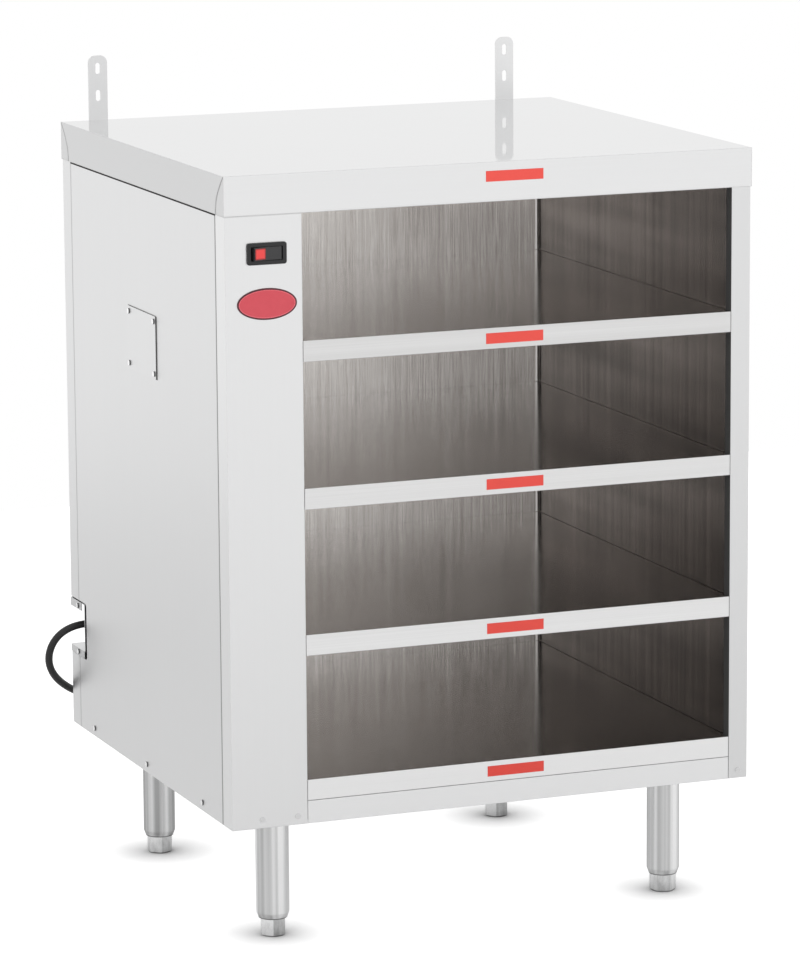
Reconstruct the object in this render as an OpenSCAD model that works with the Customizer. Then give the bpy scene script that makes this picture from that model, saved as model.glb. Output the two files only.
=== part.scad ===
// Hot cupboard: a sheet steel cabinet on legs with four heated shelves, open at the front.
// Lengths are in millimetres. Inside the modules x is measured from the middle of the body, y from
// its front face towards the back and z from the floor. place() moves that to the part's frame.

/* [Cabinet] */
// width of the body
body_w = 657.6; // [560:0.1:760]
// depth of the body
body_d = 594.6; // [500:0.1:700]
// height from the body's lower edge to the underside of the top sheet
body_h = 760.8; // [650:0.1:900]
// height of the body's lower edge above the floor
leg_h = 150; // [130:1:190]
// thickness of the outer sheets
skin_t = 1.2; // [0.8:0.1:2]
// thickness of the top cover's sheet
lid_t = 1.2; // [0.8:0.1:2]
// height of the fascia and the skirts
fascia_h = 46; // [36:1:60]
// width of the fascia's tab round each corner
tab_w = 25; // [15:1:40]
// height of the slanted part of a corner seam
seam_slant = 28; // [15:1:32]
// open width of a corner seam
seam_w = 0.6; // [0.3:0.1:1]
// how far the control panel wraps onto the side
wrap_front = 31; // [20:1:45]
// how far the back panel wraps onto the sides
wrap_back = 30; // [20:1:45]

/* [Opening] */
// width of the control panel
panel_w = 93; // [80:1:130]
// width of the right wall's front face
wall_w = 24; // [18:1:40]
// depth of the returned edges beside the opening
return_d = 15; // [8:1:25]
// thickness of the inner liners
liner_t = 1; // [0.6:0.1:2]
// space between the back liner and the back of the body
back_gap = 17; // [12:1:40]
// height of the base pan's upturned edges
pan_edge = 16; // [10:1:17]

/* [Shelves] */
// height of the lowest shelf above the body's lower edge
shelf_base = 52; // [46:1:80]
// thickness of a shelf, its lip included
shelf_t = 24.4; // [20:0.1:30]
// space at each end of a shelf's lip
lip_gap = 0.6; // [0.5:0.1:4]
// thickness of a shelf's under-cover
cover_t = 1; // [0.6:0.1:2]
// thickness of a heater mat
heater_t = 3; // [1.5:0.1:5]
// space between a heater mat and the shelf's edges
heater_inset = 32; // [24:1:60]
// width of each leg of a support angle
angle_w = 15; // [10:1:17]
// thickness of a support angle
angle_t = 1.5; // [1:0.1:3]

/* [Legs] */
// distance of both left legs from the left side
leg_left = 75; // [60:1:110]
// distance of the front right leg from the right side
leg_right_front = 77; // [60:1:140]
// distance of the rear right leg from the right side
leg_right_back = 124; // [60:1:140]
// distance of the front legs from the front
leg_front = 73; // [60:1:140]
// distance of the rear legs from the back
leg_back = 110; // [60:1:140]
// diameter of a leg tube
leg_dia = 39.6; // [36:0.1:50]
// wall of a leg tube
leg_wall = 1.6; // [1:0.1:3]
// diameter of the leg's narrow end
nose_dia = 34.4; // [33:0.1:36]
// height of the leg's tapered end
nose_h = 7; // [4:1:15]
// height of the threaded boss in the leg's end
boss_h = 28; // [22:1:40]
// height of a foot's hexagon
foot_h = 21.5; // [16:0.5:30]
// width of a foot's hexagon across its flats
foot_flats = 28; // [24:0.1:28.5]
// bevel round a foot's lower edge
foot_bevel = 2; // [1:0.1:3]
// diameter of a foot's screw
stem_dia = 16; // [12:0.1:18]
// length of a foot's screw
stem_len = 50; // [40:1:60]
// radial clearance of the screw in its boss
stem_clear = 0.08; // [0.05:0.01:0.1]
// side of a leg's mounting plate
plate_w = 88; // [80:1:100]
// thickness of a mounting plate
plate_t = 4; // [3:0.1:6]
// distance of the plate bolts from the leg's axis, each way
bolt_half = 32; // [30:1:36]
// diameter of a plate bolt
bolt_dia = 6; // [5:0.1:8]
// height of a plate bolt's head and nut
bolt_head_h = 4; // [3:0.1:5]
// width of a plate bolt's head across its corners
bolt_head_dia = 11; // [9:0.1:13]

/* [Switch] */
// distance of the switch's middle from the left side
switch_x = 50; // [44:1:60]
// distance of the switch's middle below the top sheet
switch_drop = 89; // [70:1:120]
// width of the switch's bezel
bezel_w = 47.8; // [44:0.1:54]
// height of the switch's bezel
bezel_h = 25.2; // [23:0.1:30]
// thickness of the bezel in front of the panel
bezel_t = 2.2; // [1.5:0.1:3]
// corner radius of the bezel
bezel_corner = 3; // [1:0.1:5]
// width of the switch's housing
housing_w = 43; // [42:0.1:43.5]
// height of the switch's housing
housing_h = 20.5; // [19:0.1:22]
// depth of the switch's housing behind the panel
housing_d = 28; // [22:1:36]
// length of the rocker
rocker_len = 34.4; // [30:0.1:35]
// width of the rocker
rocker_w = 15.2; // [13:0.1:15.6]
// height of the rocker's ends above its axis
rocker_end = 8; // [7:0.1:9]
// height of the rocker's middle above its axis
rocker_mid = 6.2; // [5:0.1:6.8]
// depth of the rocker behind its axis
rocker_back = 3; // [2:0.1:4]
// space at each end of the rocker
rocker_end_gap = 2; // [1.8:0.1:2.6]
// space at each side of the rocker
rocker_side_gap = 0.4; // [0.3:0.1:0.8]
// depth of the rocker's axis behind the panel's front
pivot_depth = 4.5; // [3.5:0.1:6]
// tilt of the rocker at rest
rocker_tilt = 7; // [4:0.5:9]
// diameter of the rocker's pin
pin_dia = 3; // [2:0.1:3.6]
// radial clearance of the rocker on its pin
pin_clear = 0.05; // [0.03:0.01:0.1]
// length of the red lens
lens_len = 14; // [9:0.1:15]
// width of the red lens
lens_w = 13; // [10:0.1:13.4]
// depth of the red lens in the rocker
lens_depth = 1; // [0.6:0.1:1.2]
// how far the red lens stands out
lens_proud = 0.3; // [0.1:0.1:0.5]

/* [Electrics] */
// length of the terminal block, along the depth
block_len = 24; // [16:1:26]
// width of the terminal block
block_w = 16; // [12:1:20]
// height of the terminal block
block_h = 30; // [20:1:40]
// diameter of the wire loom
loom_dia = 8; // [6:0.1:10]
// bend of the wire loom
loom_bend = 24; // [16:1:40]
// diameter of the thermostat
stat_dia = 24; // [18:1:32]
// depth of the thermostat
stat_h = 14; // [8:1:20]
// length of the switch's blades
blade_len = 8; // [5:1:12]
// depth of the switch's connector
plugin_d = 12; // [8:1:18]
// width of the side access plate, along the depth
access_w = 104; // [80:1:130]
// height of the side access plate
access_h = 76; // [60:1:100]
// height of the access plate's middle as a share of the body's height
access_share = 0.696; // [0.5:0.001:0.8]
// rim of the access plate outside its hole
access_rim = 13; // [11:1:18]
// corner radius of the access plate
access_corner = 2.5; // [1:0.1:5]

/* [Cord] */
// diameter of the cord
cord_dia = 9.5; // [8:0.1:10]
// height of the recess above the body's lower edge
recess_base = 101.5; // [80:0.5:120]
// height of the recess
recess_h = 59; // [50:1:80]
// depth of the recess from the back
recess_d = 52; // [46:1:70]
// width of the recess from the left side
recess_w = 52; // [48:1:60]
// height of the recess's tabs
recess_tab = 9; // [8:1:12]
// open slit in front of the recess
recess_slit = 7; // [4:0.5:9]
// gap above and below the recess's tabs
recess_gap = 1.2; // [0.5:0.1:2]
// corner radius of the cut for the recess
recess_corner = 5; // [2:0.5:7]
// height of the cord's exit as a share of the recess's height
exit_share = 0.45; // [0.4:0.01:0.55]
// distance of the cord's exit from the back
exit_back = 16; // [15:0.5:22]
// diameter of the bushing's flange
bush_dia = 19; // [17:0.5:21]
// thickness of the bushing's flange and nut
bush_flange = 4; // [3:0.5:6]
// diameter of the bushing's neck in the wall
bush_neck = 14.5; // [13:0.5:16]
// diameter of the strain relief at its root
relief_root = 17; // [15:0.5:18]
// diameter of the strain relief at its end
relief_end = 12.4; // [11.6:0.1:14]
// length of the strain relief
relief_len = 30; // [22:1:40]
// mean diameter of the coil as a number of cord diameters
coil_share = 11; // [10:0.1:12]
// space between neighbouring turns of the coil
turn_gap = 1.2; // [0.8:0.1:3]
// width of the coil's tie
tie_w = 12; // [8:1:20]
// thickness of the coil's tie
tie_t = 1.2; // [0.8:0.1:2]
// space between the tie and the coil
tie_clear = 0.8; // [0.6:0.1:1.6]
// length of the plug
plug_len = 42; // [34:1:54]
// width of the plug
plug_w = 28; // [24:1:34]
// length of the plug's blades
plug_blade_len = 17; // [14:1:20]

/* [Fixings] */
// width of a wall strap
strap_w = 24.5; // [20:0.5:32]
// thickness of a wall strap
strap_t = 2; // [1.5:0.1:4]
// height of a wall strap above the top
strap_rise = 80; // [66:1:110]
// length of a wall strap below the top
strap_drop = 42; // [36:1:44]
// corner radius of a wall strap's upper end
strap_corner = 9; // [4:0.5:10]
// distance of the left strap from the left side
strap_left_x = 48; // [40:1:80]
// distance of the right strap from the right side
strap_right_x = 63; // [40:1:80]
// width of a strap's slot
slot_w = 6; // [5:0.1:8]
// length of a strap's slot
slot_len = 14; // [10:0.5:18]
// distance of the upper slot's middle below the strap's upper end
slot_top = 16; // [12:0.5:20]
// distance between the slots' middles
slot_pitch = 33.6; // [28:0.1:40]
// diameter of the screws' heads
head_dia = 6.6; // [5:0.1:8]
// height of the screws' heads
head_h = 1.4; // [1:0.1:2.4]
// diameter of the screws' shanks
shank_dia = 3.6; // [3:0.1:4]
// radial clearance round a shank
shank_clear = 0.2; // [0.1:0.05:0.4]
// length of a shank behind the sheets
shank_tail = 3; // [1:0.5:6]
// distance of the lower screws from the body's lower edge
screw_rise = 10; // [9:0.5:14]
// width of the plain name plate
name_w = 72.5; // [50:0.5:80]
// height of the plain name plate
name_h = 36.5; // [24:0.5:40]
// thickness of the plain name plate
name_t = 1; // [0.6:0.1:2]
// distance of the name plate's middle below the top sheet
name_drop = 147; // [130:1:180]
// width of a plain strip
strip_w = 72; // [50:1:90]
// height of a plain strip
strip_h = 12.5; // [10:0.5:16]
// thickness of a plain strip
strip_t = 0.3; // [0.2:0.1:0.6]
// distance of the strips' middles from the middle of the body
strip_x = 27; // [0:1:60]

/* [Hidden] */
// overrun of every cut
over = 2;
round_fn = 40;
oval_fn = 48;
hex_fn = 6;
half_turn = 180;
quarter = 90;
full_turn = 360;

z_top = leg_h + body_h;
z_ceil = z_top + lid_t - fascia_h;
x_left = -body_w / 2;
x_right = body_w / 2;
x_open = x_left + panel_w;
x_wall = x_right - wall_w;
inner_d = body_d - back_gap;
z_pan = leg_h + plate_t;
z_floor = z_pan + skin_t;
z_edge = z_floor + pan_edge;
shelf_count = 4;
clear_h = (z_ceil - leg_h - shelf_base - (shelf_count - 1) * shelf_t) / shelf_count;
function shelf_z(n) = leg_h + shelf_base + (shelf_count - n) * (clear_h + shelf_t);

z_switch = z_top - switch_drop;
x_switch = x_left + switch_x;
rocker_half = rocker_len / 2;
rocker_slope = (rocker_end - rocker_mid) / rocker_half;
function rocker_y(x) = -(rocker_mid + rocker_slope * abs(x));
lens_x = -rocker_half + rocker_side_gap * 2;
lens_reach = (lens_proud - rocker_y(lens_x)) * cos(rocker_tilt) - lens_x * sin(rocker_tilt);
end_reach = rocker_end * cos(rocker_tilt) + rocker_half * sin(rocker_tilt);
front_reach = max(lens_reach, end_reach) - pivot_depth;
back_reach = lid_t + strap_t + head_h;
left_reach = skin_t + head_h;
right_reach = head_h;
x_off = (left_reach - right_reach) / 2;
y_off = (front_reach - back_reach - body_d) / 2;

legs = [
  [x_left + leg_left, leg_front],
  [x_right - leg_right_front, leg_front],
  [x_left + leg_left, body_d - leg_back],
  [x_right - leg_right_back, body_d - leg_back]
];
foot_turns = [12, 40, 22, 8];

side_screw_shares = [0.175, 0.515, 0.855];
front_screw_shares = [0.40, 0.87];
strap_screw_shares = [0.3, 0.76];
z_screw = leg_h + screw_rise;
x_strap_left = x_left + strap_left_x;
x_strap_right = x_right - strap_right_x;
y_strap = body_d + lid_t;
z_strap = z_top + lid_t + strap_rise;

y_access = body_d / 2;
z_access = leg_h + access_share * body_h;
access_inset = access_rim / 2;
access_xs = access_w / 2 - access_inset;
access_zs = access_h / 2 - access_inset;

z_recess = leg_h + recess_base;
y_recess = body_d - recess_d;
y_notch = y_recess - skin_t - recess_slit;
z_notch = z_recess - recess_tab - recess_gap;
notch_h = recess_h + skin_t + recess_tab + 2 * recess_gap;
rivet_share = 0.42;
x_grip = x_left + recess_w;
x_exit = x_grip - bush_flange - relief_len;
y_exit = body_d - exit_back;
z_exit = z_recess + exit_share * recess_h;
cord_r = cord_dia / 2;

x_block = x_open - liner_t - block_w;
z_block = z_exit - block_h / 2;
x_loom = x_block + block_w / 2;
y_plugin = housing_d + blade_len + plugin_d;

// coil on the floor behind the body, where the body hides it
coil_r = coil_share * cord_dia / 2;
coil_pitch = cord_dia + turn_gap;
coil_turns = 2;
coil_rings = 24;
coil_sides = 6;
coil_dip_share = 0.35;
coil_dip = coil_dip_share * cord_dia;
coil_z = cord_r + tie_t;
layer_rise = cord_dia + turn_gap;
coil_aside_share = 53;
coil_behind_share = 24.2;
coil_x = x_exit + coil_aside_share * cord_dia;
coil_y = y_exit + coil_behind_share * cord_dia;
coil_first = coil_r + coil_pitch;
layer_turn = full_turn * coil_turns;
coil_end = 2 * layer_turn + half_turn;
coil_step = full_turn / coil_rings;
tail_share = 4;
tail_len = tail_share * cord_dia;
x_plug = coil_x - tail_len;
y_plug = coil_y + coil_first;
z_plug = coil_z + layer_rise;

function coil_radius(a) = a < layer_turn ? coil_first - coil_pitch * a / full_turn
  : a > layer_turn + half_turn
    ? coil_r - coil_pitch + coil_pitch * (a - layer_turn - half_turn) / full_turn
    : coil_r - coil_pitch - coil_dip * sin(a - layer_turn);
function coil_height(a) = a < layer_turn ? coil_z
  : a > layer_turn + half_turn ? z_plug
    : coil_z + layer_rise * (1 - cos(a - layer_turn)) / 2;
function coil_point(a) = [
  coil_x + coil_radius(a) * sin(a),
  coil_y - coil_radius(a) * cos(a),
  coil_height(a)
];
entry_shares = [5, 2.5, 1];
coil_path = concat(
  [[coil_x - entry_shares[2] * cord_dia, coil_y - coil_first, coil_z]],
  [for (a = [0 : coil_step : coil_end]) coil_point(a)],
  [[coil_x - tail_len / 2, y_plug, z_plug], [x_plug, y_plug, z_plug]]
);

// free stretch: steps from the exit in cord diameters, a loop and a slack fall, then the coil's entry
route_shares = [
  [0, 0, 0], [-1.1, 0, 0], [-2.6, 0.1, -0.35], [-3.9, 0.4, -1.15], [-4.8, 0.8, -2.35],
  [-5.2, 1.3, -3.8], [-5.1, 1.8, -5.3], [-4.5, 2.3, -6.7], [-3.5, 2.8, -7.95], [-2.1, 3.3, -9.1],
  [-0.3, 3.8, -10.2], [2.2, 4.5, -11.85], [5.6, 5.4, -13.95], [10, 6.6, -16.45], [15, 8, -19],
  [20.5, 9.7, -21.5], [26.5, 11.7, -23.8], [33, 13.8, -25.9], [39, 15.6, -27.4], [44, 16.9, -28.2]
];
route = concat(
  [for (s = route_shares) [x_exit, y_exit, z_exit] + s * cord_dia],
  [for (s = entry_shares) [coil_x - s * cord_dia, coil_y - coil_first, coil_z]]
);
route_steps = 3;
route_sides = 10;

function curve(a, b, c, d, t) = 0.5 * (2 * b + (c - a) * t + (2 * a - 5 * b + 4 * c - d) * t * t
  + (3 * b - 3 * c + d - a) * t * t * t);
function smooth(p, n) = concat(
  [for (i = [0 : len(p) - 2]) for (j = [0 : n - 1])
    curve(p[max(i - 1, 0)], p[i], p[i + 1], p[min(i + 2, len(p) - 1)], j / n)],
  [p[len(p) - 1]]
);
free_path = smooth(route, route_steps);

function unit(v) = v / norm(v);
function heading(p, i) = i == 0 ? unit(p[1] - p[0])
  : i == len(p) - 1 ? unit(p[i] - p[i - 1]) : unit(p[i + 1] - p[i - 1]);
function square_to(n, t) = unit(n - (n * t) * t);
function sides(p, i, n) = i == len(p) ? [] :
  let (m = square_to(n, heading(p, i))) concat([m], sides(p, i + 1, m));
function path_len(p) = len(p) < 2 ? 0 : sum_of([for (i = [1 : len(p) - 1]) norm(p[i] - p[i - 1])]);
function sum_of(v, i = 0) = i == len(v) ? 0 : v[i] + sum_of(v, i + 1);
function least(p, skip) = min([for (i = [0 : len(p) - skip - 1]) for (j = [i + skip : len(p) - 1])
  norm(p[i] - p[j])]) - cord_dia;

echo(free_length = path_len(free_path), coil_length = path_len(coil_path));
echo(coil_gap = least(coil_path, coil_rings / 2), free_gap = least(free_path, coil_rings / 2));

// which sub-part to draw

module place() {
  translate([x_off, y_off, 0]) children();
}

// a box from its low corner to its high corner
module span(a, b) {
  translate(a) cube(b - a);
}

// a round bar along y from the point a, length l
module bar_y(a, r, l) {
  translate(a) rotate([-quarter, 0, 0]) cylinder(r = r, h = l, $fn = round_fn);
}

// a round bar along x from the point a, length l
module bar_x(a, r, l) {
  translate(a) rotate([0, quarter, 0]) cylinder(r = r, h = l, $fn = round_fn);
}

// a flat outline with round corners, centred
module rounded(w, h, r) {
  square([w - 2 * r, h], center = true);
  square([w, h - 2 * r], center = true);
  for (sx = [-1, 1]) for (sy = [-1, 1])
    translate([sx * (w / 2 - r), sy * (h / 2 - r)]) circle(r = r, $fn = round_fn);
}

// cuts for the shanks of the lower panel screws
module low_holes(r) {
  reach = 2 * skin_t + 2 * over;
  for (s = side_screw_shares) {
    bar_x([x_left - over, s * body_d, z_screw], r, reach);
    bar_x([x_right - 2 * skin_t - over, s * body_d, z_screw], r, reach);
  }
  for (s = front_screw_shares) bar_y([x_left + s * panel_w, -over, z_screw], r, reach);
  bar_y([x_wall + wall_w / 2, -over, z_screw], r, reach);
}

// cuts for the strap screws
module strap_holes(r) {
  for (x = [x_strap_left, x_strap_right]) for (s = strap_screw_shares)
    bar_y([x, body_d - skin_t - over, z_top + lid_t - s * strap_drop], r,
      skin_t + lid_t + strap_t + 2 * over);
}

// cuts for the access plate's screws
module access_holes(r) {
  for (sy = [-1, 1]) for (sz = [-1, 1])
    bar_x([x_left - skin_t - over, y_access + sy * access_xs, z_access + sz * access_zs], r,
      2 * skin_t + 2 * over);
}

// a corner seam of the top cover, drawn with the corner at y = 0 and y growing inwards
module seam_shape() {
  polygon([
    [seam_w, z_top - lid_t],
    [2 * seam_w, z_top - lid_t],
    [tab_w + seam_w, z_top - seam_slant],
    [tab_w + seam_w, z_ceil - over],
    [tab_w, z_ceil - over],
    [tab_w, z_top - seam_slant]
  ]);
}

module seams() {
  for (x = [x_left - lid_t - over, x_right - over])
    translate([x, 0, 0]) rotate([quarter, 0, quarter]) linear_extrude(lid_t + 2 * over) {
      seam_shape();
      translate([body_d, 0]) mirror([1, 0]) seam_shape();
    }
}

module lid_cover() {
  color([0.88, 0.89, 0.9]) place() difference() {
    span([x_left - lid_t, -lid_t, z_ceil], [x_right + lid_t, body_d + lid_t, z_top + lid_t]);
    span([x_left, 0, z_ceil - over], [x_right, body_d, z_top]);
    seams();
    strap_holes(shank_dia / 2 + shank_clear);
  }
}

module control_panel() {
  color([0.86, 0.87, 0.88]) place() difference() {
    union() {
      span([x_left, 0, leg_h], [x_open, skin_t, z_top]);
      span([x_left, 0, leg_h], [x_left + skin_t, wrap_front, z_top]);
      span([x_open - skin_t, 0, z_edge], [x_open, return_d, z_top]);
    }
    span([x_switch - housing_w / 2, -over, z_switch - housing_h / 2],
      [x_switch + housing_w / 2, skin_t + over, z_switch + housing_h / 2]);
    low_holes(shank_dia / 2 + shank_clear);
  }
}

// outline of the cut for the recess in the left side, drawn in depth and height
module notch_shape() {
  r = recess_corner;
  translate([y_notch + r, z_notch]) square([recess_d + recess_slit + over, notch_h]);
  translate([y_notch, z_notch + r]) square([2 * r, notch_h - 2 * r]);
  for (z = [z_notch + r, z_notch + notch_h - r])
    translate([y_notch + r, z]) circle(r = r, $fn = round_fn);
}

module side_notch() {
  translate([x_left - over, 0, 0]) rotate([quarter, 0, quarter])
    linear_extrude(skin_t + over) notch_shape();
}

module back_notch() {
  span([x_left - over, body_d - skin_t - over, z_recess], [x_grip, body_d + over, z_recess + recess_h]);
}

module left_side_panel() {
  color([0.86, 0.87, 0.88]) place() difference() {
    span([x_left, wrap_front + seam_w, leg_h], [x_left + skin_t, body_d - wrap_back - seam_w, z_top]);
    span([x_left - over, y_access - access_w / 2 + access_rim, z_access - access_h / 2 + access_rim],
      [x_left + skin_t + over, y_access + access_w / 2 - access_rim,
        z_access + access_h / 2 - access_rim]);
    side_notch();
    low_holes(shank_dia / 2 + shank_clear);
    access_holes(shank_dia / 2 + shank_clear);
  }
}

module right_side_panel() {
  color([0.86, 0.87, 0.88]) place() difference() {
    union() {
      span([x_right - skin_t, 0, leg_h], [x_right, body_d - wrap_back - seam_w, z_top]);
      span([x_wall, 0, leg_h], [x_right, skin_t, z_top]);
      span([x_wall, 0, z_edge], [x_wall + skin_t, return_d, z_top]);
    }
    low_holes(shank_dia / 2 + shank_clear);
  }
}

module back_panel() {
  color([0.86, 0.87, 0.88]) place() difference() {
    union() {
      span([x_left, body_d - skin_t, leg_h], [x_right, body_d, z_top]);
      for (x = [x_left, x_right - skin_t])
        span([x, body_d - wrap_back, leg_h], [x + skin_t, body_d, z_top]);
    }
    side_notch();
    back_notch();
    strap_holes(shank_dia / 2 + shank_clear);
  }
}

module left_liner() {
  color([0.55, 0.53, 0.5]) place()
    span([x_open - liner_t, return_d, z_floor], [x_open, inner_d, z_ceil + liner_t]);
}

module right_liner() {
  color([0.55, 0.53, 0.5]) place()
    span([x_wall, return_d, z_floor], [x_wall + liner_t, inner_d, z_ceil + liner_t]);
}

module back_liner() {
  color([0.55, 0.53, 0.5]) place()
    span([x_open - liner_t, inner_d, z_floor], [x_wall + liner_t, inner_d + liner_t, z_ceil + liner_t]);
}

module ceiling_liner() {
  color([0.55, 0.53, 0.5]) place()
    span([x_open, 0, z_ceil], [x_wall, inner_d, z_ceil + liner_t]);
}

module base_pan() {
  color([0.7, 0.71, 0.72]) place() difference() {
    span([x_left + skin_t, skin_t, z_pan], [x_right - skin_t, body_d - skin_t, z_edge]);
    span([x_left + 2 * skin_t, 2 * skin_t, z_floor],
      [x_right - 2 * skin_t, body_d - 2 * skin_t, z_edge + over]);
    low_holes(shank_dia / 2 + shank_clear);
    for (p = legs) for (sx = [-1, 1]) for (sy = [-1, 1])
      translate([p[0] + sx * bolt_half, p[1] + sy * bolt_half, z_pan - over])
        cylinder(d = bolt_dia + 2 * shank_clear, h = skin_t + 2 * over, $fn = round_fn);
  }
}

module base_rail() {
  color([0.86, 0.87, 0.88]) place()
    span([x_open + lip_gap, 0, leg_h],
      [x_wall - lip_gap, skin_t, leg_h + shelf_base - shelf_t - lip_gap]);
}

module shelf(n) {
  z = shelf_z(n);
  color([0.8, 0.81, 0.82]) place() {
    span([x_open + lip_gap, 0, z - skin_t], [x_wall - lip_gap, inner_d, z]);
    span([x_open + lip_gap, 0, z - shelf_t], [x_wall - lip_gap, skin_t, z]);
    span([x_open + lip_gap, inner_d - skin_t, z - shelf_t + cover_t], [x_wall - lip_gap, inner_d, z]);
  }
}

module shelf_1() {
  shelf(1);
}

module shelf_2() {
  shelf(2);
}

module shelf_3() {
  shelf(3);
}

module shelf_4() {
  shelf(4);
}

module heater(n) {
  z = shelf_z(n) - skin_t;
  color([0.75, 0.45, 0.2]) place()
    span([x_open + heater_inset, heater_inset, z - heater_t],
      [x_wall - heater_inset, inner_d - heater_inset, z]);
}

module heater_1() {
  heater(1);
}

module heater_2() {
  heater(2);
}

module heater_3() {
  heater(3);
}

module heater_4() {
  heater(4);
}

module cover(n) {
  z = shelf_z(n) - shelf_t;
  color([0.6, 0.6, 0.6]) place()
    span([x_open + lip_gap, skin_t, z], [x_wall - lip_gap, inner_d, z + cover_t]);
}

module cover_1() {
  cover(1);
}

module cover_2() {
  cover(2);
}

module cover_3() {
  cover(3);
}

module cover_4() {
  cover(4);
}

module brackets() {
  color([0.65, 0.65, 0.66]) place() for (n = [1 : shelf_count]) {
    z = shelf_z(n) - skin_t;
    span([x_open, return_d, z - angle_t], [x_open + angle_w, inner_d - heater_inset, z]);
    span([x_open, return_d, z - angle_w], [x_open + angle_t, inner_d - heater_inset, z]);
    span([x_wall - angle_w, return_d, z - angle_t], [x_wall, inner_d - heater_inset, z]);
    span([x_wall - angle_t, return_d, z - angle_w], [x_wall, inner_d - heater_inset, z]);
  }
}

module insulation() {
  color([0.9, 0.85, 0.6]) place() {
    span([x_open, skin_t, z_ceil + liner_t], [x_wall, inner_d, z_top]);
    span([x_wall + liner_t, return_d, z_edge], [x_right - 2 * skin_t, inner_d, z_ceil]);
    span([x_open, inner_d + liner_t, z_edge], [x_wall, body_d - 2 * skin_t, z_ceil]);
  }
}

module leg(p) {
  r = leg_dia / 2;
  bore = stem_dia / 2 + stem_clear;
  color([0.75, 0.76, 0.77]) place() translate([p[0], p[1], 0]) rotate_extrude($fn = round_fn)
    polygon([
      [bore, foot_h],
      [nose_dia / 2, foot_h],
      [r, foot_h + nose_h],
      [r, leg_h],
      [r - leg_wall, leg_h],
      [r - leg_wall, foot_h + boss_h],
      [bore, foot_h + boss_h]
    ]);
}

module leg_fl() {
  leg(legs[0]);
}

module leg_fr() {
  leg(legs[1]);
}

module leg_bl() {
  leg(legs[2]);
}

module leg_br() {
  leg(legs[3]);
}

module leg_plates() {
  color([0.6, 0.6, 0.61]) place() for (p = legs) difference() {
    span([p[0] - plate_w / 2, p[1] - plate_w / 2, leg_h], [p[0] + plate_w / 2, p[1] + plate_w / 2, z_pan]);
    for (sx = [-1, 1]) for (sy = [-1, 1])
      translate([p[0] + sx * bolt_half, p[1] + sy * bolt_half, leg_h - over])
        cylinder(d = bolt_dia + 2 * shank_clear, h = plate_t + 2 * over, $fn = round_fn);
  }
}

module leg_bolts() {
  color([0.7, 0.7, 0.72]) place() for (p = legs) for (sx = [-1, 1]) for (sy = [-1, 1])
    translate([p[0] + sx * bolt_half, p[1] + sy * bolt_half, leg_h - bolt_head_h]) {
      cylinder(d = bolt_head_dia, h = bolt_head_h, $fn = hex_fn);
      cylinder(d = bolt_dia, h = 2 * bolt_head_h + plate_t + skin_t, $fn = round_fn);
      translate([0, 0, bolt_head_h + plate_t + skin_t])
        cylinder(d = bolt_head_dia, h = bolt_head_h, $fn = hex_fn);
    }
}

module foot(i) {
  corner = foot_flats / cos(half_turn / hex_fn) / 2;
  color([0.78, 0.79, 0.8]) place() translate([legs[i][0], legs[i][1], 0]) {
    intersection() {
      rotate([0, 0, foot_turns[i]]) cylinder(r = corner, h = foot_h, $fn = hex_fn);
      rotate_extrude($fn = round_fn) polygon([
        [0, 0],
        [corner - foot_bevel, 0],
        [corner, foot_bevel],
        [corner, foot_h],
        [0, foot_h]
      ]);
    }
    translate([0, 0, foot_h / 2]) cylinder(d = stem_dia, h = foot_h / 2 + stem_len, $fn = round_fn);
  }
}

module foot_fl() {
  foot(0);
}

module foot_fr() {
  foot(1);
}

module foot_bl() {
  foot(2);
}

module foot_br() {
  foot(3);
}

module switch_housing() {
  cave_w = rocker_len + 2 * rocker_end_gap;
  cave_h = rocker_w + 2 * rocker_side_gap;
  cave_d = pivot_depth + rocker_back + rocker_half * sin(rocker_tilt) + 2 * rocker_side_gap;
  color([0.06, 0.06, 0.065]) place() translate([x_switch, 0, z_switch]) difference() {
    union() {
      rotate([quarter, 0, 0]) linear_extrude(bezel_t) rounded(bezel_w, bezel_h, bezel_corner);
      span([-housing_w / 2, -bezel_t, -housing_h / 2], [housing_w / 2, housing_d, housing_h / 2]);
    }
    span([-cave_w / 2, -bezel_t - over, -cave_h / 2], [cave_w / 2, cave_d, cave_h / 2]);
    translate([0, pivot_depth, -housing_h / 2 + skin_t])
      cylinder(d = pin_dia, h = housing_h - 2 * skin_t, $fn = round_fn);
  }
}

module lens_shape(proud) {
  a = lens_x;
  b = a + lens_len;
  polygon([
    [a, rocker_y(a) - proud],
    [b, rocker_y(b) - proud],
    [b, rocker_y(b) + lens_depth],
    [a, rocker_y(a) + lens_depth]
  ]);
}

module at_rocker() {
  place() translate([x_switch, pivot_depth, z_switch]) rotate([0, 0, rocker_tilt]) children();
}

module rocker() {
  color([0.05, 0.05, 0.055]) at_rocker() difference() {
    translate([0, 0, -rocker_w / 2]) linear_extrude(rocker_w) polygon([
      [-rocker_half, -rocker_end],
      [0, -rocker_mid],
      [rocker_half, -rocker_end],
      [rocker_half, rocker_back],
      [-rocker_half, rocker_back]
    ]);
    translate([0, 0, -lens_w / 2]) linear_extrude(lens_w) lens_shape(over);
    translate([0, 0, -rocker_w / 2 - over])
      cylinder(r = pin_dia / 2 + pin_clear, h = rocker_w + 2 * over, $fn = round_fn);
  }
}

module rocker_lens() {
  color([0.8, 0.03, 0.03]) at_rocker()
    translate([0, 0, -lens_w / 2]) linear_extrude(lens_w) lens_shape(lens_proud);
}

module rocker_pin() {
  color([0.7, 0.7, 0.72]) place() translate([x_switch, pivot_depth, z_switch - housing_h / 2 + skin_t])
    cylinder(d = pin_dia, h = housing_h - 2 * skin_t, $fn = round_fn);
}

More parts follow.
